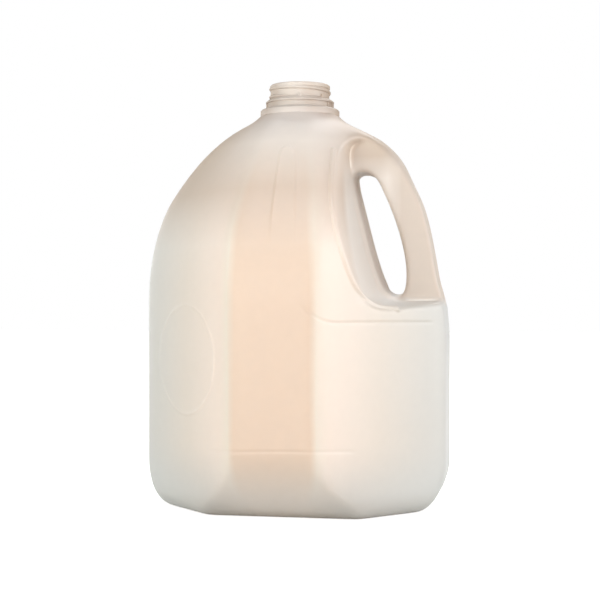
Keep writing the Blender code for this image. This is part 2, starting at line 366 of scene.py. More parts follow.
def section(z, share=1.0):
    """Points of the rounded octagon at height z, drawn in towards the axis to this share."""
    wall, pour, side, handle = side_distances(z)
    power = crispness(z)
    angles = np.linspace(0, 2 * math.pi, AROUND, endpoint=False)
    total = np.zeros(AROUND)
    for k, distance in enumerate((handle, wall, side, wall, pour, wall, side, wall)):
        total += (np.maximum(0, np.cos(angles - k * math.pi / 4)) / distance) ** power
    keep_facets = (1 + 2 * math.cos(math.pi / 4) ** power) ** (1 / power)
    radius = share * keep_facets * total ** (-1 / power)
    return np.stack([radius * np.cos(angles), radius * np.sin(angles)], axis=1)


def at_height(ring, z):
    """A flat ring's points in space at height z."""
    return np.column_stack([ring, np.full(len(ring), z)])


def body_rings():
    """Closed rings from the middle of the base out to the foot and up to the neck."""
    rings = []
    for share, rise in BASE_RISE:
        rings.append(at_height(section(0.0, share), rise * PUSH_UP))
    rings.append(at_height(section(0.0, 1 - FOOT_WIDTH), 0.0))
    top, count = BASE_RINGS
    heights = [top * (i / (count - 1)) ** 2 for i in range(count)]
    heights += list(np.linspace(*WALL_RINGS))
    heights += list(np.linspace(SHOULDER_Z[0], SHOULDER_Z[-1], SHOULDER_RINGS))
    for z in heights:
        rings.append(at_height(section(z), z))
    angles = np.linspace(0, 2 * math.pi, AROUND, endpoint=False)
    circle = NECK_STUB * np.stack([np.cos(angles), np.sin(angles)], axis=1)
    for z in (NECK_JOINT_Z, HEIGHT - COLLAR_FOOT, HEIGHT - COLLAR_TOP):
        rings.append(at_height(circle, z))
    return rings


def lofted(name, rings):
    """A closed solid through rings of equal count, with a flat cap at each end."""
    around = len(rings[0])
    points = np.concatenate([np.asarray(ring) for ring in rings])
    faces = []
    for low in range(0, len(points) - around, around):
        for i in range(around):
            j = (i + 1) % around
            faces.append((low + i, low + j, low + around + j, low + around + i))
    faces.append(tuple(reversed(range(around))))
    faces.append(tuple(range(len(points) - around, len(points))))
    mesh = bpy.data.meshes.new(name)
    mesh.from_pydata(points.tolist(), [], faces)
    bm = bmesh.new()
    bm.from_mesh(mesh)
    bmesh.ops.recalc_face_normals(bm, faces=bm.faces)
    bm.to_mesh(mesh)
    bm.free()
    return new_object(name, mesh)


def drafted_core(name, corners, near, far, side):
    """A mould core: the outline from near to far off the parting plane, wider further out."""
    outline = np.array(rounded_outline(corners))
    centre = np.array(RECESS_CENTRE)
    rings = []
    for distance in (near, far):
        grow = 1 + RECESS_DRAFT / (RECESS_CENTRE[0] - corners[1][0]) * distance
        wide = centre + (outline - centre) * grow
        rings.append(np.column_stack([wide[:, 0], np.full(len(wide), side * distance), wide[:, 1]]))
    return lofted(name, rings)


def with_soft_end(form):
    """Smooths the upper end of each recess on until it has no edge left."""
    places = coordinates(form.data)
    places[:, 1] = np.abs(places[:, 1])
    share = np.ones(len(places))
    for axis, (low, high) in enumerate(SOFT_END):
        share *= smooth_step((places[:, axis] - low) / SOFT_EASE)
        share *= smooth_step((high - places[:, axis]) / SOFT_EASE)
    group = form.vertex_groups.new(name="soft_end")
    for i in np.nonzero(share > 0)[0]:
        group.add([int(i)], float(share[i]), "REPLACE")
    blend = form.modifiers.new("soft_end", "SMOOTH")
    blend.factor = SMOOTHING
    blend.iterations = SOFT_PASSES
    blend.vertex_group = group.name
    return applied(form, "blown_form")


def blown_form():
    """The outside of the blown wall on an even grid, with every moulded edge filleted."""
    blank = lofted("blank", body_rings())
    gap_reach = HANDLE_HALF_WIDTH + CORE_OVERLAP
    cores = [
        drafted_core("recess_near", RECESS_OUTLINE, HANDLE_HALF_WIDTH, RECESS_REACH, -1),
        drafted_core("recess_far", RECESS_OUTLINE, HANDLE_HALF_WIDTH, RECESS_REACH, 1),
        drafted_core("gap_near", GAP_OUTLINE, -CORE_MEETING, gap_reach, -1),
        drafted_core("gap_far", GAP_OUTLINE, -CORE_MEETING, gap_reach, 1),
    ]
    for core in cores:
        cut = blank.modifiers.new(core.name, "BOOLEAN")
        cut.operation = "DIFFERENCE"
        cut.object = core
    remesh = blank.modifiers.new("even_grid", "REMESH")
    remesh.mode = "VOXEL"
    remesh.voxel_size = VOXEL
    fillets = blank.modifiers.new("fillets", "SMOOTH")
    fillets.factor = SMOOTHING
    fillets.iterations = FILLET_PASSES
    form = applied(blank, "blown_form")
    for core in cores:
        bpy.data.objects.remove(core, do_unlink=True)
    form = with_soft_end(form)
    places = coordinates(form.data)
    places[:, 2] = np.maximum(0, places[:, 2] - places[:, 2].min() - SETTLING)
    form.data.vertices.foreach_set("co", places.ravel())
    form.data.update()
    return form


# ---- Low relief on the blown wall ------------------------------------------------------


def surface_tree(mesh):
    """A mesh's faces, ready to be searched for the nearest place or a ray's hit."""
    corners = [vert.co[:] for vert in mesh.vertices]
    return BVHTree.FromPolygons(corners, [face.vertices[:] for face in mesh.polygons])


def evenly(points, spacing):
    """Points along a smooth curve through the given ones, this far apart."""
    points = np.asarray(points, float)
    run = np.concatenate([[0], np.cumsum(np.linalg.norm(np.diff(points, axis=0), axis=1))])
    along = np.linspace(0, run[-1], max(2, int(run[-1] / spacing)))
    return np.column_stack([smooth_curve(along, run, column) for column in points.T])


def on_wall(tree, route, side):
    """The route given as (x, z), laid on this side of the wall and eased where the wall turns away."""
    cast = []
    for x, z in evenly(route, RELIEF_STEP):
        place = tree.ray_cast(Vector((x, side * 0.2, z)), Vector((0, -side, 0)))[0]
        if place is not None:
            cast.append(place)
    eased = np.array(cast)
    reach = min(EASE_REACH, len(cast) // 4)
    for i in range(reach, len(cast) - reach):
        eased[i] = np.mean(cast[i - reach : i + reach + 1], axis=0)
    eased = evenly(eased[:: max(1, reach // 2)], RELIEF_STEP)
    return [tree.find_nearest(Vector(place))[0] for place in eased]


def ring_on_wall(tree, side):
    """A circle on the wall beside the pouring corner."""
    outward = Vector((-1, side, 0)).normalized()
    across = Vector((1, side, 0)).normalized()
    centre = outward * 2 * WALL_DISTANCE - across * RING_OFF_MIDDLE + Vector((0, 0, RING_Z))
    found = []
    for i in range(RING_POINTS):
        turn = 2 * math.pi * i / RING_POINTS
        start = centre + RING_RADIUS * (across * math.cos(turn) + Vector((0, 0, math.sin(turn))))
        place = tree.ray_cast(start, -outward)[0]
        if place is not None:
            found.append(place)
    return found


def nearness(places, route, reach):
    """For each place its distance from the route, up to reach, and how far along that lies."""
    tree = KDTree(len(route))
    for i, point in enumerate(route):
        tree.insert(point, i)
    tree.balance()
    ends = np.array([point[:] for point in route])
    near = ((places > ends.min(0) - reach) & (places < ends.max(0) + reach)).all(axis=1)
    distance = np.full(len(places), reach)
    along = np.zeros(len(places))
    for i in np.nonzero(near)[0]:
        _, step, away = tree.find(places[i])
        distance[i] = min(reach, away)
        along[i] = step * RELIEF_STEP
    return distance, along


def inside_flute(places, side):
    """How far each place lies inside the long shallow panel in the shoulder over a side facet."""
    x, z = places[:, 0], places[:, 2]
    left = x - smooth_curve(z, FLUTE_Z, FLUTE_LEFT)
    right = smooth_curve(z, FLUTE_Z, FLUTE_RIGHT) - x
    top = FLUTE_Z[-1] - z
    inside = np.minimum(np.minimum(left, right), top)
    return np.where((side * places[:, 1] > 0) & (z > FLUTE_FADE[0]), inside, -1.0)


def flute(places, side):
    """The panel stands out in full past its rounded edge, and runs out downwards."""
    fade = smooth_step((places[:, 2] - FLUTE_FADE[0]) / (FLUTE_FADE[1] - FLUTE_FADE[0]))
    return smooth_step(inside_flute(places, side) / FLUTE_EDGE) * fade


def in_weld(places):
    """Where the gap's inner wall faces the fingers."""
    (x_low, x_high), (z_low, z_high) = WELD_BOX
    x, z = places[:, 0], places[:, 2]
    edge_x, edge_z, _ = zip(*GAP_OUTLINE[:4])
    inner_edge = np.interp(z, edge_z, edge_x)
    beside = np.abs(x - inner_edge) < WELD_REACH
    return beside & (x > x_low) & (x < x_high) & (z > z_low) & (z < z_high)


def seam(places, normals):
    """The parting line, and the pinched weld that stands up on the gap's inner wall."""
    off_plane = np.abs(places[:, 1])
    line = SEAM_HEIGHT * smooth_step(1 - off_plane / SEAM_HALF_WIDTH)
    z_low, z_high = WELD_BOX[1]
    z = places[:, 2]
    ends = smooth_step((z - z_low) / WELD_RUN_OUT) * smooth_step((z_high - z) / WELD_RUN_OUT)
    crest = smooth_step(WELD_FULLNESS * (1 - off_plane / WELD_HALF_WIDTH))
    weld = WELD_HEIGHT * crest * ends * np.clip(normals[:, 0], 0, 1)
    return np.where(in_weld(places), np.maximum(line, weld), line)


def refined(mesh, tree, touched, margin):
    """Halves the edges where the wall bends sharply or touched says that relief passes."""
    bm = bmesh.new()
    bm.from_mesh(mesh)
    hit = touched(np.array([vert.co[:] for vert in bm.verts]), margin)
    bent = [edge for edge in bm.edges if edge.calc_face_angle(0) > SHARP_BEND]
    for edge in bent:
        hit[edge.verts[0].index] = hit[edge.verts[1].index] = True
    edges = [edge for edge in bm.edges if hit[edge.verts[0].index] or hit[edge.verts[1].index]]
    bmesh.ops.subdivide_edges(bm, edges=edges, cuts=1, use_grid_fill=True)
    bm.to_mesh(mesh)
    bm.free()
    lay_on(mesh, tree)


def lay_on(mesh, tree):
    """Evens out the corners along the wall, then lays each on the finely drawn form."""
    places = coordinates(mesh)
    ends = np.empty(len(mesh.edges) * 2, int)
    mesh.edges.foreach_get("vertices", ends)
    starts, stops = ends.reshape(-1, 2).T
    count = np.bincount(ends, minlength=len(places))[:, None]
    for _ in range(RELAX_PASSES):
        around = np.zeros_like(places)
        np.add.at(around, starts, places[stops])
        np.add.at(around, stops, places[starts])
        places = (places + around / count) / 2
    laid = [tree.find_nearest(Vector(place))[0] for place in places]
    mesh.vertices.foreach_set("co", np.array(laid).ravel())
    mesh.update()


def add_relief(skin, form):
    """Lays the skin's corners on the form, finer where relief comes, and lifts them into it."""
    mesh = skin.data
    tree = surface_tree(form.data)
    routes = []
    for side in (-1, 1):
        bead = on_wall(tree, BEAD_ROUTE, side)
        routes.append((bead, BEAD_HALF_WIDTH, BEAD_HEIGHT, BEAD_CROWN, BEAD_RUN_OUT))
        for places, depth in ((PANEL_TOP, TOP_LINE_DEPTH), (PANEL_FOOT, FOOT_LINE_DEPTH)):
            line = on_wall(tree, places, side)
            routes.append((line, LINE_HALF_WIDTH, -depth, 0.0, LINE_RUN_OUT))
        routes.append((ring_on_wall(tree, side), RING_HALF_WIDTH, RING_HEIGHT, 0.0, 0.0))

    def under_relief(places, margin):
        off_plane = np.abs(places[:, 1])
        hit = off_plane < SEAM_HALF_WIDTH + margin / 2
        hit |= in_weld(places) & (off_plane < WELD_HALF_WIDTH + margin)
        for route, half_width, *_ in routes:
            reach = half_width + margin
            hit |= nearness(places, route, reach)[0] < 0.99 * reach
        for side in (-1, 1):
            hit |= np.abs(inside_flute(places, side) - FLUTE_EDGE / 2) < FLUTE_EDGE / 2 + margin
        return hit

    for margin in (SKIN_GRID, SKIN_GRID / 4):
        refined(mesh, tree, under_relief, margin)
    places = coordinates(mesh)
    normals = np.empty(len(mesh.vertices) * 3)
    mesh.vertices.foreach_get("normal", normals)
    normals = normals.reshape(-1, 3)
    lift = seam(places, normals)
    for route, half_width, height, crown, run_out in routes:
        across, along = nearness(places, route, half_width)
        from_end = np.minimum(along, len(route) * RELIEF_STEP - along)
        fullness = smooth_step(from_end / run_out) if run_out else 1.0
        lift += height * fullness * smooth_step((1 - across / half_width) / (1 - crown))
    for side in (-1, 1):
        lift += FLUTE_DEPTH * flute(places, side)
    places += normals * lift[:, None]
    places[:, 2] = np.maximum(0, places[:, 2])
    mesh.vertices.foreach_set("co", places.ravel())
    mesh.update()


# ---- The blown wall as a shell ---------------------------------------------------------


def decimated(form, name, triangles):
    """A copy of the form in about this many triangles."""
    copy = new_object(name, form.data.copy())
    drawn = sum(len(face.vertices) - 2 for face in form.data.polygons)
    fewer = copy.modifiers.new("fewer_facets", "DECIMATE")
    fewer.ratio = min(1.0, triangles / drawn)
    return applied(copy, name)


def open_at_neck(bm):
    """Cuts away what stands above the joint with the neck."""
    bmesh.ops.bisect_plane(
        bm,
        geom=bm.verts[:] + bm.edges[:] + bm.faces[:],
        plane_co=(0, 0, NECK_JOINT_Z),
        plane_no=(0, 0, 1),
        clear_outer=True,
    )


def shell_of(outside, inside):
    """Outside and inside as one closed wall: the inside is set in by the wall's thickness."""
    bm = bmesh.new()
    bm.from_mesh(inside.data)
    bm.normal_update()
    for vert, normal in [(vert, vert.normal.copy()) for vert in bm.verts]:
        vert.co -= normal * SKIN
    bmesh.ops.reverse_faces(bm, faces=bm.faces)
    bm.from_mesh(outside.data)
    open_at_neck(bm)
    rim = [edge for edge in bm.edges if edge.is_boundary]
    bmesh.ops.triangle_fill(bm, use_beauty=True, use_dissolve=False, edges=rim, normal=(0, 0, 1))
    bmesh.ops.triangulate(bm, faces=bm.faces)
    mesh = bpy.data.meshes.new("shell")
    bm.to_mesh(mesh)
    bm.free()
    for obj in (outside, inside):
        bpy.data.objects.remove(obj, do_unlink=True)
    return new_object("shell", mesh)


def gridded(form, name):
    """The form on the coarser, even grid of the finished skin."""
    copy = new_object(name, form.data.copy())
    remesh = copy.modifiers.new("skin_grid", "REMESH")
    remesh.mode = "VOXEL"
    remesh.voxel_size = SKIN_GRID
    relax = copy.modifiers.new("relax", "SMOOTH")
    relax.factor = SMOOTHING
    relax.iterations = RELAX_PASSES
    return applied(copy, name)


def blown_wall():
    """The body of the jug as a closed shell, relief and all, ready for its neck."""
    form = blown_form()
    outside = gridded(form, "outside")
    inside = decimated(outside, "inside", INNER_TRIANGLES)
    add_relief(outside, form)
    bpy.data.objects.remove(form, do_unlink=True)
    return shell_of(outside, inside)


# ---- The neck --------------------------------------------------------------------------


def turned(name, outline):
    """A ring turned about the axis from (radius, height) corners."""
    bm = bmesh.new()
    loop = [bm.verts.new((radius, 0, z)) for radius, z in outline]
    for start, end in zip(loop, loop[1:] + loop[:1]):
        bm.edges.new((start, end))
    mesh = bpy.data.meshes.new(name)
    bm.to_mesh(mesh)
    bm.free()
    ring = new_object(name, mesh)
    turn = ring.modifiers.new("turn", "SCREW")
    turn.axis = "Z"
    turn.steps = NECK_STEPS
    turn.render_steps = NECK_STEPS
    turn.use_merge_vertices = True
    turn.merge_threshold = 0.1 * MM
    return applied(ring, name)


def neck_ring():
    """The neck finish, turned: lip, thread land, tamper collar, flange and bore."""
    slope, band_top, band_foot, underside = (COLLAR_TOP + depth for depth in BAND_DEPTHS)
    edge_in, edge_down = FLANGE_EDGE
    below_rim = (
        (BORE_RADIUS, 0.0),
        (LIP_RADIUS - LIP_EDGE, 0.0),
        (LIP_RADIUS, LIP_EDGE),
        (LIP_RADIUS, LIP_HEIGHT),
        (NECK_RADIUS, LIP_HEIGHT + LIP_SLOPE),
        (NECK_RADIUS, COLLAR_TOP - COLLAR_EDGE),
        (COLLAR_RADIUS - COLLAR_EDGE, slope),
        (COLLAR_RADIUS + BAND_OUT, band_top),
        (COLLAR_RADIUS + BAND_OUT, band_foot),
        (COLLAR_RADIUS, underside),
        (COLLAR_RADIUS, COLLAR_FOOT),
        (FLANGE_RADIUS - edge_in, FLANGE_TOP),
        (FLANGE_RADIUS, FLANGE_TOP + edge_down),
        (FLANGE_RADIUS, FLANGE_FOOT),
        (THROAT_RADIUS, FLANGE_FOOT),
        (BORE_RADIUS, FLANGE_TOP - THROAT_RISE),
    )
    return turned("neck_ring", [(radius, HEIGHT - depth) for radius, depth in below_rim])


def grown(name, build_tree, sizes):
    """A mesh object grown by Geometry Nodes from named sizes."""
    tree = bpy.data.node_groups.new(name, "GeometryNodeTree")
    tree.interface.new_socket("Geometry", in_out="OUTPUT", socket_type="NodeSocketGeometry")
    identifiers = {}
    for size, value in sizes.items():
        kind = "NodeSocketInt" if isinstance(value, int) else "NodeSocketFloat"
        socket = tree.interface.new_socket(size, in_out="INPUT", socket_type=kind)
        identifiers[size] = socket.identifier
    given = node(tree, "NodeGroupInput").outputs
    made = build_tree(tree, given)
    real = node(tree, "GeometryNodeRealizeInstances", {0: made})
    dressed = node(tree, "GeometryNodeSetMaterial", {0: real.outputs[0], "Material": blown_hdpe})
    node(tree, "NodeGroupOutput", {0: dressed.outputs[0]})
    carrier = new_object(name, bpy.data.meshes.new(name))
    grow = carrier.modifiers.new("grow", "NODES")
    grow.node_group = tree
    for size, value in sizes.items():
        grow[identifiers[size]] = value
    return applied(carrier, name)


def thread_nodes(tree, given):
    """A bead along a helix, sinking into the land over the run-out at each end."""
    helix = node(
        tree,
        "GeometryNodeCurveSpiral",
        {
            "Resolution": given["Steps a turn"],
            "Rotations": given["Turns"],
            "Start Radius": given["Land radius"],
            "End Radius": given["Land radius"],
            "Height": given["Rise"],
        },
    )
    along = node(tree, "GeometryNodeSplineParameter").outputs["Factor"]
    from_end = node(tree, "ShaderNodeMath", {0: 1.0, 1: along}, operation="SUBTRACT").outputs[0]
    nearest = node(tree, "ShaderNodeMath", {0: along, 1: from_end}, operation="MINIMUM").outputs[0]
    limits = {"Value": nearest, "From Max": given["Run out"], "To Min": given["End"], "To Max": 1.0}
    fullness = node(tree, "ShaderNodeMapRange", limits).outputs[0]
    size = {"Resolution": given["Sides"], "Radius": given["Bead radius"]}
    profile = node(tree, "GeometryNodeCurvePrimitiveCircle", size)
    sweep = {
        "Curve": helix.outputs[0],
        "Profile Curve": profile.outputs[0],
        "Scale": fullness,
        "Fill Caps": True,
    }
    bead = node(tree, "GeometryNodeCurveToMesh", sweep)
    turn = node(tree, "ShaderNodeCombineXYZ", {"Z": given["Bearing"]})
    lift = node(tree, "ShaderNodeCombineXYZ", {"Z": given["Foot"]})
    placing = {"Geometry": bead.outputs[0], "Translation": lift.outputs[0], "Rotation": turn.outputs[0]}
    return node(tree, "GeometryNodeTransform", placing).outputs[0]


def teeth_nodes(tree, given):
    """Teeth round the neck: a row of blocks with sloping flanks, each turned to face outwards."""
    row = node(tree, "GeometryNodeMeshLine", {"Count": given["Count"], "Offset": (0, 0, 0)})
    number = node(tree, "GeometryNodeInputIndex").outputs[0]
    steps = {0: number, 1: given["Pitch"], 2: given["Bearing"]}
    bearing = node(tree, "ShaderNodeMath", steps, operation="MULTIPLY_ADD").outputs[0]
    cosine = node(tree, "ShaderNodeMath", {0: bearing}, operation="COSINE").outputs[0]
    sine = node(tree, "ShaderNodeMath", {0: bearing}, operation="SINE").outputs[0]
    x = node(tree, "ShaderNodeMath", {0: cosine, 1: given["Radius"]}, operation="MULTIPLY").outputs[0]
    y = node(tree, "ShaderNodeMath", {0: sine, 1: given["Radius"]}, operation="MULTIPLY").outputs[0]
    place = node(tree, "ShaderNodeCombineXYZ", {"X": x, "Y": y, "Z": given["Height"]})
    moved = {"Geometry": row.outputs[0], "Position": place.outputs[0]}
    placed = node(tree, "GeometryNodeSetPosition", moved)
    block = node(tree, "GeometryNodeMeshCylinder", {"Vertices": 6, "Radius": 0.5, "Depth": 1.0})
    size = {"X": given["Out"], "Y": given["Round"], "Z": given["Up"]}
    scale = node(tree, "ShaderNodeCombineXYZ", size)
    facing = node(tree, "ShaderNodeCombineXYZ", {"Z": bearing})
    copies = {
        "Points": placed.outputs[0],
        "Instance": block.outputs[0],
        "Rotation": facing.outputs[0],
        "Scale": scale.outputs[0],
    }
    return node(tree, "GeometryNodeInstanceOnPoints", copies).outputs[0]


def thread_bead():
    """The thread that the cap turns on."""
    depth, bearing = THREAD_START
    sizes = {
        "Steps a turn": THREAD_STEPS,
        "Sides": THREAD_SIDES,
        "Turns": THREAD_TURNS,
        "Land radius": NECK_RADIUS - THREAD_SINK,
        "Rise": THREAD_PITCH * THREAD_TURNS,
        "Run out": THREAD_RUN_OUT,
        "End": THREAD_END,
        "Bead radius": THREAD_RADIUS,
        "Bearing": bearing,
        "Foot": HEIGHT - depth,
    }
    return grown("thread", thread_nodes, sizes)


def teeth(name, count, bearing, radius, depth, size):
    """A row of this many teeth or lugs, centred on the bearing."""
    out, across, up = size
    sizes = {
        "Count": count,
        "Pitch": TOOTH_PITCH,
        "Bearing": bearing - (count - 1) / 2 * TOOTH_PITCH,
        "Radius": radius,
        "Height": HEIGHT - depth,
        "Out": 2 * out,
        "Round": across,
        "Up": up,
    }
    return grown(name, teeth_nodes, sizes)


def neck_details():
    """The thread, the ratchet teeth over the parting line and the stop lugs above the collar."""
    parts = [thread_bead()]
    for name, bearing in (("ratchet_handle_side", 0.0), ("ratchet_pour_side", math.pi)):
        parts.append(teeth(name, TEETH, bearing, COLLAR_RADIUS, TEETH_DEPTH, TOOTH_SIZE))
    for i, bearing in enumerate(LUG_BEARINGS):
        parts.append(teeth(f"lug_{i}", 1, bearing, NECK_RADIUS, LUG_DEPTH, LUG_SIZE))
    return parts


def joined_by_union(obj, others, name):
    """One closed solid of obj and the others, which are removed."""
    for other in others:
        union = obj.modifiers.new(other.name, "BOOLEAN")
        union.operation = "UNION"
        union.object = other
    made = applied(obj, name)
    for other in others:
        bpy.data.objects.remove(other, do_unlink=True)
    return made


def keep_neck_edges(mesh):
    """The turned neck keeps its crisp edges; the blown wall has none."""
    mesh.set_sharp_from_angle(angle=CRISP_ANGLE)
    neck_foot = HEIGHT - FLANGE_FOOT - 0.1 * MM
    sharp = mesh.attributes["sharp_edge"].data
    for edge in mesh.edges:
        if min(mesh.vertices[i].co.z for i in edge.vertices) < neck_foot:
            sharp[edge.index].value = False


# ---- Material --------------------------------------------------------------------------

# Colours of the wall round the girth, by degrees off the square of the parting plane.
# It is thinnest in and beside the facets blown furthest, so brighter and warmer there, but these
# colours also hold painted light: the bright stop beside each facet's corner is a painted highlight,
# and the greying towards the corners is painted shade.
BLOWN_TONES_AND_PAINTED_LIGHT = (
    (13, "#fae9d8"),
    (16, "#fff7ec"),
    (21, "#fdefe3"),
    (45, "#efe5da"),
    (68, "#e4e0da"),
    (80, "#e6e5e2"),
)
# The same round the shoulder and the base, where the wall stays thick: greyer than the blown wall,
# partly the wall's own tone and partly painted shade, and the shoulder grows darker towards the pouring
# and handle corners as painted shade.
SHOULDER_TONES_AND_PAINTED_SHADE = ((12, "#f8f1ea"), (40, "#efe4da"), (75, "#dccab7"))
BASE_TONES_AND_PAINTED_SHADE = ((12, "#efebe6"), (30, "#e0deda"), (75, "#e3e6e5"))
BLOWN_FROM = (0.004, 0.045)         # the wall thins upwards over these heights
BLOWN_TO = (0.220, 0.135)           # and downwards over these
# The recess walls let more light through, and their lighter colour is painted light against the shade
# that the handle casts in the recess; the handle is a warmer tube of double wall.
# Each fades in and out over these x and z, inside this |y| plus a share of the height.
RECESS_PAINTED_LIGHT_COLOR = "#fff9f3"
HANDLE_COLOR = "#e4d6c9"
RECESS_SPAN = ((0.028, 0.034, 0.054, 0.062), (0.116, 0.122, 0.190, 0.203))
HANDLE_SPAN = ((0.050, 0.060, 0.190, 0.200), (0.116, 0.122, 0.240, 0.250))
INWARD_SLOPE = 0.4
INWARD_LIMIT = (0.116, 0.106)
# Tints up the height, matched to the jug's tones: the base, clear wall, a browner band at the turn of
# the shoulder, partly the wall's own tone and partly painted shade, the dome over it, then the thick
# moulded neck.
HEIGHT_TINTS_AND_PAINTED_SHADE = (
    (0.006, "#fbf8f6"),
    (0.040, "#ffffff"),
    (0.150, "#ffffff"),
    (0.181, "#f4ece5"),
    (0.209, "#fffdfc"),
    (0.229, "#eee9e8"),
    (0.233, "#e0dad6"),
    (0.239, "#e4deda"),
    (0.244, "#f0ece9"),
)
LET_THROUGH_TINT = (1.06, 1.00, 0.93)           # light that crosses the wall loses its blue
SHARE_LET_THROUGH = (0.38, 0.55, 0.50)          # by thick wall, the thin facets and the recess
SHARE_ANGLES = (14, 21)             # degrees round over which the facets' pass into the walls'
FLOW_WIDTH = 14 * MM                # streaks that the molten tube leaves as it is stretched
FLOW_LENGTH = 110 * MM
FLOW_SWAY = 3                       # how many degrees they push the girth's colours about
CLOUD_SIZE = 5 * MM                 # milky clouds in the wall
CLOUD_DARK = 0.965
WAVE_SIZE = 16 * MM                 # slow waviness of a wall that only air pressed on the mould
WAVE_HEIGHT = 0.10 * MM
GRAIN_SIZE = 0.9 * MM               # blasted mould face; drawn coarser than real, or it would not show
GRAIN_HEIGHT = 0.006 * MM
ROUGHNESS = (0.34, 0.46)
HDPE_IOR = 1.54
HDPE_SPECULAR = 0.9                 # up from the usual 0.5, for the waxy shine on its skin


def shaded_along(tree, value, stops):
    """Blends from each stop's colour to the next as the value passes from stop to stop."""
    start, code = stops[0]
    color = (*linear(code), 1)
    for end, code in stops[1:]:
        share = node(tree, "ShaderNodeMapRange", {"Value": value, "From Min": start, "From Max": end})
        pair = {"Factor": share, 6: color, 7: (*linear(code), 1)}
        color = node(tree, "ShaderNodeMix", pair, data_type="RGBA").outputs[2]
        start = end
    return color


def beside_gap(tree, x, off_y, z, span):
    """1 on the walls within this span that the recess cores shaped, 0 elsewhere."""
    inward = {0: z, 1: INWARD_SLOPE, 2: off_y}
    beside = node(tree, "ShaderNodeMath", inward, operation="MULTIPLY_ADD")
    limits = [(beside, *INWARD_LIMIT)]
    for value, (low, full, ebb, high) in zip((x, z), span):
        limits += [(value, low, full), (value, high, ebb)]
    inside = 1.0
    for value, start, end in limits:
        share = node(tree, "ShaderNodeMapRange", {"Value": value, "From Min": start, "From Max": end})
        inside = node(tree, "ShaderNodeMath", {0: inside, 1: share}, operation="MULTIPLY")
    return inside


